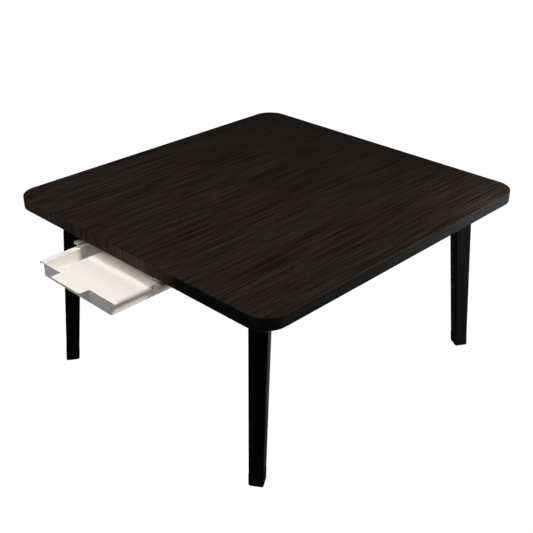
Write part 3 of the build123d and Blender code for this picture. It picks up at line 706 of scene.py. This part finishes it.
def dress_nodes(finish: Finish, *nodes: str) -> None:
    """Dresses CAD nodes that keep their own mesh.

    Args:
        finish: Their finish.
        nodes: Their names.
    """
    for node in nodes:
        dress(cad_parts[node], finish)
        LOG.info("%s keeps its solid, finish %s", node, finish.name)


def placed(mesh: bpy.types.Mesh, name: str) -> bpy.types.Object:
    """A mesh as an object of the scene.

    Args:
        mesh: Its mesh, in the row frame.
        name: Its name.

    Returns:
        The object, at the origin.
    """
    piece = bpy.data.objects.new(name, mesh)
    bpy.context.scene.collection.objects.link(piece)
    return piece


def fit(piece: bpy.types.Object, body: str, finish: Finish, nodes: Iterable[str] = ()) -> None:
    """Dresses a finished piece and sets it on its body.

    Args:
        piece: The piece.
        body: The body that it rides on.
        finish: Its finish.
        nodes: CAD nodes that it stands for.
    """
    dress(piece, finish)
    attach(piece, body)
    for node in nodes:
        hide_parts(node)
    LOG.info("%s on %s, %d faces, finish %s", piece.name, body, len(piece.data.polygons), finish.name)


def frozen(piece: bpy.types.Object) -> bpy.types.Object:
    """Puts the result of a piece's modifiers in place of its mesh.

    Args:
        piece: The piece.

    Returns:
        The same piece.
    """
    bpy.context.view_layer.update()
    evaluated = piece.evaluated_get(bpy.context.evaluated_depsgraph_get())
    mesh = bpy.data.meshes.new_from_object(evaluated)
    piece.modifiers.clear()
    piece.data = mesh
    return piece


def smooth(mesh: bpy.types.Mesh, degrees: float = 32.0) -> None:
    """Shades a mesh smooth between its sharp edges.

    Args:
        mesh: The mesh.
        degrees: Edges sharper than this stay sharp.
    """
    mesh.shade_smooth()
    mesh.set_sharp_from_angle(angle=math.radians(degrees))


@dataclass
class SoftenedSolid:
    """A CAD node again, welded and with its hard edges slightly rounded."""

    node: str
    body: str
    finish: Finish
    edge: float = 0.0
    segments: int = 2

    def build(self) -> bpy.types.Object:
        """Makes the piece and hides the node that it stands for.

        Returns:
            The piece.
        """
        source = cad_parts[self.node].data
        shape = bmesh.new()
        lift = [shape.verts.new(vertex.co) for vertex in source.vertices]
        for polygon in source.polygons:
            shape.faces.new([lift[index] for index in polygon.vertices])
        bmesh.ops.remove_doubles(shape, verts=shape.verts, dist=WELD)
        bmesh.ops.dissolve_degenerate(shape, edges=shape.edges, dist=WELD)
        bmesh.ops.dissolve_limit(shape, angle_limit=FLAT, verts=shape.verts, edges=shape.edges)
        self.reshape(shape)
        mesh = bpy.data.meshes.new(self.node + "_softened")
        shape.to_mesh(mesh)
        shape.free()
        smooth(mesh)
        piece = placed(mesh, self.node + "_softened")
        if self.edge:
            bevel = piece.modifiers.new("soft edges", "BEVEL")
            bevel.width = self.edge
            bevel.segments = self.segments
            bevel.limit_method = "ANGLE"
            bevel.angle_limit = HARD
            bevel.harden_normals = True
            bevel.use_clamp_overlap = True
            frozen(piece)
        fit(piece, self.body, self.finish, [self.node])
        return piece

    def reshape(self, shape: bmesh.types.BMesh) -> None:
        """Leaves the welded solid as it is."""


@dataclass
class FootCap(SoftenedSolid):
    """A foot cap with a fuller round at the floor.

    half is half its width, and rings the steps of the round."""

    half: float = 14.3 * MM
    solid_round: float = 2.5 * MM
    full_round: float = 4.5 * MM
    rings: int = 7

    def reshape(self, shape: bmesh.types.BMesh) -> None:
        """Draws the outer wall in towards the floor along a quarter circle.

        Args:
            shape: The welded cap.
        """
        for ring in range(1, self.rings + 1):
            level = self.full_round * (1.0 - math.cos(math.pi / 2 * ring / self.rings))
            bmesh.ops.bisect_plane(shape, geom=shape.verts[:] + shape.edges[:] + shape.faces[:],
                                   dist=TOUCH, plane_co=(0.0, 0.0, level), plane_no=(0.0, 0.0, 1.0))
        shape.normal_update()
        low, high = self._middle(shape, 0.0), self._middle(shape, self.full_round)
        for vertex in shape.verts:
            share = vertex.co.z / self.full_round
            middle = low.lerp(high, share)
            reach = vertex.co.xy - middle
            if share < 1.0 and reach.dot(vertex.normal.xy) > 0.0:
                level = vertex.co.z
                scale = self._width(level, self.full_round) / self._width(level, self.solid_round)
                vertex.co.xy = middle + reach * scale

    def _width(self, level: float, radius: float) -> float:
        """Half the cap's width at a level when its lower edge has this radius."""
        rise = min(radius, max(0.0, radius - level))
        return self.half - radius + math.sqrt(radius * radius - rise * rise)

    @staticmethod
    def _middle(shape: bmesh.types.BMesh, level: float) -> Vector:
        """The middle of the cap's section at a level."""
        ring = [vertex.co for vertex in shape.verts if abs(vertex.co.z - level) < SAME_LEVEL]
        return Vector([(min(c[axis] for c in ring) + max(c[axis] for c in ring)) / 2 for axis in range(2)])


# ---------------------------------------------------------------- geometry-node trees
class GrowthTree:
    """A Geometry Nodes tree with named sizes, run once to make a plain mesh."""

    def __init__(self, name: str, sizes: dict[str, float]) -> None:
        """Starts a tree with one geometry input and one number for each size.

        Args:
            name: The tree's name.
            sizes: Each size's name and value, in metres.
        """
        self.sizes = sizes
        self.tree = bpy.data.node_groups.new(name, "GeometryNodeTree")
        face = self.tree.interface
        face.new_socket("Geometry", in_out="INPUT", socket_type="NodeSocketGeometry")
        for size in sizes:
            face.new_socket(size, in_out="INPUT", socket_type="NodeSocketFloat")
        face.new_socket("Finish", in_out="INPUT", socket_type="NodeSocketMaterial")
        face.new_socket("Geometry", in_out="OUTPUT", socket_type="NodeSocketGeometry")
        self.bench = Bench(self.tree)
        self.entry = self.bench.node("NodeGroupInput")

    def size(self, name: str) -> Wire:
        """A named size as a wire."""
        return Wire(self.bench, self.entry.outputs[name])

    def node(self, kind: str, settings: dict[str, Any] | None = None,
             sockets: dict[Any, Any] | None = None) -> bpy.types.NodeSocket:
        """Adds one node and gives its first output, with Bench.node's arguments."""
        return self.bench.node(kind, settings, sockets).outputs[0]

    def gathered(self, node: bpy.types.Node, entry: int,
                 parts: Iterable[bpy.types.NodeSocket]) -> bpy.types.NodeSocket:
        """Links several geometries to one input of a node, and gives its first output."""
        for part in parts:
            self.tree.links.new(part, node.inputs[entry])
        return node.outputs[0]

    def planted(self, what: bpy.types.NodeSocket, turn: Point = (0.0, 0.0, 0.0)) -> bpy.types.NodeSocket:
        """Sets a geometry on every seat."""
        sockets = {"Points": self.entry.outputs[0], "Instance": what, "Rotation": turn}
        return self.node("GeometryNodeInstanceOnPoints", sockets=sockets)

    def grow(self, result: bpy.types.NodeSocket, seats: bpy.types.Mesh, name: str,
             finish: Finish) -> bpy.types.Object:
        """Ends the tree, runs it and keeps its result as a plain mesh.

        Args:
            result: What the tree makes.
            seats: The mesh that it starts from.
            name: The piece's name.
            finish: The piece's finish.

        Returns:
            The piece.
        """
        real = self.node("GeometryNodeRealizeInstances", sockets={0: result})
        wanted = self.entry.outputs["Finish"]
        done = self.node("GeometryNodeSetMaterial", sockets={0: real, "Material": wanted})
        self.bench.node("NodeGroupOutput", sockets={0: done})
        piece = placed(seats, name)
        modifier = piece.modifiers.new("growth", "NODES")
        modifier.node_group = self.tree
        values = self.sizes | {"Finish": finish.material()}
        for item in self.tree.interface.items_tree:
            if item.in_out == "INPUT" and item.name in values:
                modifier[item.identifier] = values[item.name]
        return frozen(piece)


def seats_mesh(name: str, places: Iterable[Point]) -> bpy.types.Mesh:
    """Loose points for a tree to start from.

    Args:
        name: The mesh's name.
        places: The points.

    Returns:
        The mesh.
    """
    mesh = bpy.data.meshes.new(name)
    mesh.from_pydata([tuple(place) for place in places], [], [])
    return mesh


def islands(node: str) -> list[tuple[Vector, Vector]]:
    """Finds the loose solids of a CAD node.

    Args:
        node: Its name.

    Returns:
        The lowest and highest corner of each, in order of the lowest corner.
    """
    shape = bmesh.new()
    shape.from_mesh(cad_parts[node].data)
    bmesh.ops.remove_doubles(shape, verts=shape.verts, dist=WELD)
    left, boxes = set(shape.verts), []
    while left:
        front, seen = [left.pop()], []
        while front:
            vertex = front.pop()
            seen.append(vertex.co.copy())
            for edge in vertex.link_edges:
                other = edge.other_vert(vertex)
                if other in left:
                    left.remove(other)
                    front.append(other)
        corners = [[pick(c[axis] for c in seen) for axis in range(3)] for pick in (min, max)]
        boxes.append((Vector(corners[0]), Vector(corners[1])))
    shape.free()
    return sorted(boxes, key=lambda box: tuple(box[0]))


@dataclass(frozen=True)
class PanHead:
    """A screw's size: the diameters of its shank and head, and the head's height."""

    shank: float
    head: float
    height: float


@dataclass
class ScrewSet:
    """Pan-head screws with a cross recess, driven upwards, one for each solid of a CAD node.

    The recess's length and width are shares of the head's diameter, its depth and the dome shares
    of the head's height, and the tip is a share of the shank."""

    node: str
    body: str
    size: PanHead
    recess_length: float = 0.56
    recess_width: float = 0.13
    recess_depth: float = 0.62
    dome: float = 0.62
    tip: float = 0.45
    head_sides: int = 32
    head_rings: int = 6
    shank_sides: int = 20

    def build(self) -> bpy.types.Object:
        """Grows the screws on the solids' places.

        Returns:
            The piece.
        """
        boxes = islands(self.node)
        head, height = self.size.head, self.size.height
        seats = [((low.x + high.x) / 2, (low.y + high.y) / 2, low.z + height) for low, high in boxes]
        length = boxes[0][1].z - boxes[0][0].z - height
        sizes = {"Head radius": head / 2, "Head height": height,
                 "Shank radius": self.size.shank / 2, "Shank length": length,
                 "Recess length": head * self.recess_length,
                 "Recess width": head * self.recess_width,
                 "Recess depth": height * self.recess_depth}
        tree = GrowthTree(self.node + "_tree", sizes)
        join = tree.bench.node("GeometryNodeJoinGeometry")
        screw = tree.gathered(join, 0, (self._head(tree), self._shank(tree)))
        mesh = seats_mesh(self.node + "_seats", seats)
        piece = tree.grow(tree.planted(screw), mesh, self.node + "_crosshead", Finishes.ZINC)
        smooth(piece.data, degrees=35.0)
        fit(piece, self.body, Finishes.ZINC, [self.node])
        return piece

    def _head(self, tree: GrowthTree) -> bpy.types.NodeSocket:
        """A domed head under the seat, with a cross cut in it.

        Args:
            tree: The tree that grows it.

        Returns:
            Its geometry.
        """
        radius, height = tree.size("Head radius"), tree.size("Head height")
        disc = tree.node("GeometryNodeMeshCylinder", {"fill_type": "TRIANGLE_FAN"},
                         {"Vertices": self.head_sides, "Side Segments": 1, "Fill Segments": self.head_rings,
                          "Radius": radius, "Depth": height})
        x, y, z = tree.bench.parts(tree.node("GeometryNodeInputPosition"))
        reach = (x * x + y * y) / (radius * radius)
        lift = tree.bench.vector(0.0, 0.0, reach * reach * height * self.dome * z.below(0.0) - height * 0.5)
        dome = tree.node("GeometryNodeSetPosition", sockets={"Geometry": disc, "Offset": lift})
        long, wide, deep = tree.size("Recess length"), tree.size("Recess width"), tree.size("Recess depth")
        low = tree.bench.vector(0.0, 0.0, -height)
        bars = []
        for x_size, y_size in ((long, wide), (wide, long)):
            size = tree.bench.vector(x_size, y_size, deep * 2.0)
            bar = tree.node("GeometryNodeMeshCube", sockets={"Size": size})
            bars.append(tree.node("GeometryNodeTransform", sockets={"Geometry": bar, "Translation": low}))
        cut = tree.bench.node("GeometryNodeMeshBoolean", {"operation": "DIFFERENCE"}, {0: dome})
        return tree.gathered(cut, 1, bars)

    def _shank(self, tree: GrowthTree) -> bpy.types.NodeSocket:
        """A shank above the seat that is slimmer at its tip.

        Args:
            tree: The tree that grows it.

        Returns:
            Its geometry.
        """
        radius = tree.size("Shank radius")
        return tree.node("GeometryNodeMeshCone", {"fill_type": "NGON"},
                         {"Vertices": self.shank_sides, "Side Segments": 1, "Radius Top": radius * self.tip,
                          "Radius Bottom": radius, "Depth": tree.size("Shank length")})


# ---------------------------------------------------------------- the table's sub-assemblies
@dataclass
class Board:
    """The loose board: core and edge band in wood-grain laminate."""

    core_finish: Finish = Finishes.BOARD
    band_finish: Finish = Finishes.BAND

    def build(self) -> None:
        """Makes both pieces, welded and evenly shaded."""
        SoftenedSolid("board_core", "board", self.core_finish).build()
        SoftenedSolid("edge_band", "board", self.band_finish).build()


@dataclass
class Underframe:
    """The frame of flat boards, its dowels and pads, and the leg fixings."""

    bracket_screw: PanHead = PanHead(4.0 * MM, 8.0 * MM, 2.4 * MM)

    def build(self) -> None:
        """Dresses the frame and grows its screws."""
        dress_nodes(Finishes.FRAME_X, "frame_front", "frame_rear", "crossbar_front", "crossbar_rear")
        dress_nodes(Finishes.FRAME_Y, "frame_left", "frame_right")
        dress_nodes(Finishes.DOWEL, "frame_dowels")
        dress_nodes(Finishes.FELT, "board_pads")
        dress_nodes(Finishes.ZINC, "hanger_bolts", "bolt_washers", "bolt_nuts")
        dress_nodes(Finishes.BRACKET, *[f"leg_bracket_{corner}" for corner in CORNERS])
        ScrewSet("bracket_screws", "frame", self.bracket_screw).build()


@dataclass
class Legs:
    """Four tapered legs and their foot caps."""

    leg_finish: Finish = Finishes.LEG
    cap_finish: Finish = Finishes.FOOT

    def build(self) -> None:
        """Welds the legs and caps so that their rounded edges shade evenly."""
        for corner in CORNERS:
            SoftenedSolid(f"leg_{corner}", "frame", self.leg_finish).build()
            FootCap(f"foot_cap_{corner}", "frame", self.cap_finish).build()


def turned(name: str, profile: Iterable[tuple[float, float]], middle: Vector,
           sides: int = 40) -> bpy.types.Object:
    """A body turned round the X axis.

    Args:
        name: The piece's name.
        profile: Its closed outline as places along X and radii, both from the middle.
        middle: The axis's middle.
        sides: Steps round the axis.

    Returns:
        The piece.
    """
    shape = bmesh.new()
    angles = [2 * math.pi * side / sides for side in range(sides)]
    rings = [[shape.verts.new(middle + Vector((x, r * math.cos(a), r * math.sin(a)))) for a in angles]
             for x, r in profile]
    for ring, following in zip(rings, rings[1:] + rings[:1]):
        for side in range(sides):
            after = (side + 1) % sides
            shape.faces.new((ring[side], ring[after], following[after], following[side]))
    bmesh.ops.remove_doubles(shape, verts=shape.verts, dist=TOUCH)
    bmesh.ops.dissolve_degenerate(shape, edges=shape.edges, dist=TOUCH)
    bmesh.ops.recalc_face_normals(shape, faces=shape.faces)
    mesh = bpy.data.meshes.new(name)
    shape.to_mesh(mesh)
    shape.free()
    smooth(mesh)
    return placed(mesh, name)


@dataclass
class HeatingTube:
    """A quartz tube with a coiled wire inside and a ceramic end at each side.

    glass, coil and wire are diameters. socket is how deep the glass sits in an end, with gap
    round it, and edge is the end's bevel."""

    node: str
    glass: float = 11.0 * MM
    wall: float = 1.0 * MM
    end_length: float = 16.0 * MM
    socket: float = 10.0 * MM
    edge: float = 0.6 * MM
    coil: float = 6.4 * MM
    wire: float = 0.8 * MM
    pitch: float = 2.6 * MM
    gap: float = 0.05 * MM
    coil_steps: int = 20
    wire_sides: int = 6

    def build(self) -> None:
        """Makes the glass, both ends and the coil in the solid's place."""
        (low, high), = islands(self.node)
        middle, half, radius = (low + high) / 2, (high.x - low.x) / 2, (high.z - low.z) / 2
        inside = half - self.end_length + self.socket - self.gap
        outer, inner = self.glass / 2, self.glass / 2 - self.wall
        shell = [(-inside, inner), (-inside, outer), (inside, outer), (inside, inner)]
        fit(turned(self.node + "_glass", shell, middle), "frame", Finishes.QUARTZ, [self.node])
        back, floor = half - self.end_length, half - self.end_length + self.socket
        end = [(half, 0.0), (half, radius - self.edge), (half - self.edge, radius),
               (back + self.edge, radius), (back, radius - self.edge), (back, outer + self.gap),
               (floor, outer + self.gap), (floor, 0.0)]
        for side, sign in (("left", -1), ("right", 1)):
            cap = turned(f"{self.node}_end_{side}", [(sign * x, r) for x, r in end], middle)
            fit(cap, "frame", Finishes.CERAMIC, [self.node])
        self._coil(middle - Vector((inside, 0.0, 0.0)), 2 * inside)

    def _coil(self, start: Vector, length: float) -> None:
        """Grows the coil.

        Args:
            start: Its left end.
            length: Its length.
        """
        sizes = {"Turns": length / self.pitch, "Coil radius": self.coil / 2, "Coil length": length,
                 "Wire radius": self.wire / 2}
        tree = GrowthTree(self.node + "_tree", sizes)
        radius = tree.size("Coil radius")
        helix = tree.node("GeometryNodeCurveSpiral", sockets={
            "Resolution": self.coil_steps, "Rotations": tree.size("Turns"), "Start Radius": radius,
            "End Radius": radius, "Height": tree.size("Coil length")})
        round_wire = tree.node("GeometryNodeCurvePrimitiveCircle", sockets={
            "Resolution": self.wire_sides, "Radius": tree.size("Wire radius")})
        coil = tree.node("GeometryNodeCurveToMesh", sockets={
            "Curve": helix, "Profile Curve": round_wire, "Fill Caps": True})
        laid = tree.planted(coil, (0.0, math.pi / 2, 0.0))
        seat = seats_mesh(self.node + "_seat", [start])
        piece = tree.grow(laid, seat, self.node + "_coil", Finishes.WIRE)
        smooth(piece.data, degrees=60.0)
        fit(piece, "frame", Finishes.WIRE, [self.node])


@dataclass
class Heater:
    """The heater unit: pan, reflector, guard, tubes, holders, thermostat and inlet."""

    pan_screw: PanHead = PanHead(3.4 * MM, 6.8 * MM, 2.0 * MM)
    guard_screw: PanHead = PanHead(2.6 * MM, 5.2 * MM, 1.6 * MM)

    def build(self) -> None:
        """Dresses the unit and grows its screws."""
        dress_nodes(Finishes.PAN, "heater_pan")
        dress_nodes(Finishes.REFLECTOR, "heater_reflector")
        dress_nodes(Finishes.GUARD, "heater_guard")
        dress_nodes(Finishes.CERAMIC, "tube_holder_left", "tube_holder_right")
        dress_nodes(Finishes.BLACK, "thermostat", "cord_inlet")
        dress_nodes(Finishes.NICKEL, "inlet_pins")
        HeatingTube("heating_tube_front").build()
        HeatingTube("heating_tube_rear").build()
        ScrewSet("heater_screws", "frame", self.pan_screw).build()
        ScrewSet("guard_screws", "frame", self.guard_screw).build()


@dataclass
class Drawer:
    """The shallow drawer: two slides, the tray and its sliding cover."""

    edge: float = 0.35 * MM
    slide_screw: PanHead = PanHead(3.4 * MM, 6.8 * MM, 2.0 * MM)

    def build(self) -> None:
        """Softens the moulded edges and grows the slides' screws."""
        for node, body in (("slide_left", "frame"), ("slide_right", "frame"),
                           ("drawer_tray", "tray"), ("drawer_cover", "cover")):
            SoftenedSolid(node, body, Finishes.CREAM, self.edge).build()
        ScrewSet("slide_screws", "frame", self.slide_screw).build()


# ---------------------------------------------------------------- studio
class LampKind(Enum):
    """The kinds of lamp."""

    SUN = "SUN"
    AREA = "AREA"
    SPOT = "SPOT"


@dataclass(frozen=True)
class Lamp:
    """A lamp that the camera doesn't see.

    power is in watts, or a sun's strength. The lamp hangs at place and points at target."""

    name: str
    kind: LampKind
    power: float
    place: Point
    target: Point = (0.0, 0.0, 0.0)
    settings: dict[str, Any] = field(default_factory=dict)

    def hang(self) -> None:
        """Adds the lamp to the scene."""
        light = bpy.data.lights.new(self.name, self.kind.value)
        light.energy = self.power
        for key, value in self.settings.items():
            setattr(light, key, value)
        lamp = placed(light, self.name)
        lamp.location = self.place
        lamp.rotation_euler = (Vector(self.place) - Vector(self.target)).to_track_quat("Z", "Y").to_euler()
        lamp.visible_camera = False


KEY = Lamp("key", LampKind.SUN, 2.75, (0.50, 0.08, 0.865), settings={"angle": math.radians(12)})
CORNER = Lamp("corner", LampKind.AREA, 23.0, (0.73, 0.60, 0.480), (0.30, 0.10, 0.36), {"size": 0.22})
DRAWER = Lamp("drawer", LampKind.AREA, 0.0085, (-0.033, -0.4755, 0.458), (-0.033, -0.312, 0.3435),
              {"shape": "RECTANGLE", "size": 0.222, "size_y": 0.0125, "spread": math.radians(10)})
FRONT = Lamp("front", LampKind.SPOT, 9.0, (-0.04, -0.92, 1.25), (-0.08, -0.24, 0.39),
             {"spot_size": math.radians(64), "spot_blend": 1.0, "shadow_soft_size": 0.08})
SIDE_FILL = Lamp("side fill", LampKind.SUN, 0.27, (0.95, 0.05, 0.22),
                 settings={"angle": math.radians(10)})
REAR_FILL = Lamp("rear fill", LampKind.SUN, 0.5, (-0.55, 0.75, 0.10),
                 settings={"angle": math.radians(20)})
LOWER_FILL = Lamp("lower fill", LampKind.AREA, 1.2, (0.0, 0.05, 0.012), (0.0, 0.05, 0.30), {"size": 0.45})


@dataclass
class Studio:
    """Floor, world, lamps and camera.

    floor_share is how much of the floor takes light, the rest being an even white, and
    floor_lift what is added to that white. eye and turn are the camera's place and angles."""

    sky: float = 0.09
    floor_half: float = 30.0
    floor_level: float = -0.4 * MM
    floor_tone: float = 0.07
    floor_share: float = 0.10
    floor_lift: float = 0.03
    lens: float = 60.03
    sensor: float = 36.0
    sight: float = 100.0
    eye: Point = (1.17893, -1.15477, 1.12459)
    turn: Point = (61.667, 0.0, 44.443)
    lamps: tuple[Lamp, ...] = (KEY, CORNER, DRAWER, FRONT, SIDE_FILL, REAR_FILL, LOWER_FILL)

    def build(self) -> None:
        """Makes all of it and sets the scene's camera."""
        scene = bpy.context.scene
        scene.view_settings.view_transform = "Standard"
        self._world(scene)
        self._floor()
        for lamp in self.lamps:
            lamp.hang()
        camera = bpy.data.cameras.new("camera")
        camera.lens = self.lens
        camera.sensor_width = self.sensor
        camera.clip_end = self.sight
        scene.camera = placed(camera, "camera")
        scene.camera.location = self.eye
        scene.camera.rotation_euler = [math.radians(angle) for angle in self.turn]

    @staticmethod
    def _seen(bench: Bench) -> Wire:
        """1 for rays that show the background: from the camera, in gloss and through glass."""
        path = bench.node("ShaderNodeLightPath")
        kinds = ("Is Camera Ray", "Is Glossy Ray", "Is Transmission Ray")
        camera, gloss, glass = [Wire(bench, path.outputs[kind]) for kind in kinds]
        return camera.over(gloss).over(glass)

    @staticmethod
    def _mixed(bench: Bench, share: Wire, low: bpy.types.Node, high: bpy.types.Node) -> bpy.types.Node:
        """A mix of two shaders, where share is how much of high."""
        sockets = {0: share, 1: low.outputs[0], 2: high.outputs[0]}
        return bench.node("ShaderNodeMixShader", sockets=sockets)

    def _world(self, scene: bpy.types.Scene) -> None:
        """Gives the scene an even sky that shows as white.

        Args:
            scene: The scene.
        """
        world = bpy.data.worlds.new("studio")
        bench = emptied(world)
        dim = bench.node("ShaderNodeBackground", sockets={0: WHITE, 1: self.sky})
        white = bench.node("ShaderNodeBackground", sockets={0: WHITE, 1: 1.0})
        mix = self._mixed(bench, self._seen(bench), dim, white)
        bench.node("ShaderNodeOutputWorld", sockets={0: mix.outputs[0]})
        scene.world = world

    def _floor(self) -> None:
        """A wide pale floor that keeps the table's shadow and is clear from below."""
        mesh = bpy.data.meshes.new("floor")
        half, level, tone = self.floor_half, self.floor_level, self.floor_tone
        corners = [(-half, -half, level), (half, -half, level), (half, half, level), (-half, half, level)]
        mesh.from_pydata(corners, [], [(0, 1, 2, 3)])
        made = bpy.data.materials.new("studio_floor")
        bench = emptied(made)
        matt = bench.node("ShaderNodeBsdfDiffuse", sockets={0: (tone, tone, tone, 1.0)})
        strength = self.floor_lift + (1.0 - self.floor_share * tone) / (1.0 - self.floor_share)
        glow = bench.node("ShaderNodeEmission", sockets={0: WHITE, 1: strength})
        shown = self._mixed(bench, self._seen(bench) * (1.0 - self.floor_share), matt, glow)
        behind = bench.wire("ShaderNodeNewGeometry", output="Backfacing")
        whole = self._mixed(bench, behind, shown, bench.node("ShaderNodeBsdfTransparent"))
        bench.node("ShaderNodeOutputMaterial", sockets={0: whole.outputs[0]})
        mesh.materials.append(made)
        placed(mesh, "floor")


def main() -> None:
    """Builds the table's sub-assemblies and the studio."""
    logging.basicConfig(level=logging.INFO, format="%(name)s: %(message)s")
    for assembly in (Board(), Underframe(), Legs(), Heater(), Drawer(), Studio()):
        LOG.info("building %s", type(assembly).__name__)
        assembly.build()


if __name__ == "__main__":
    main()
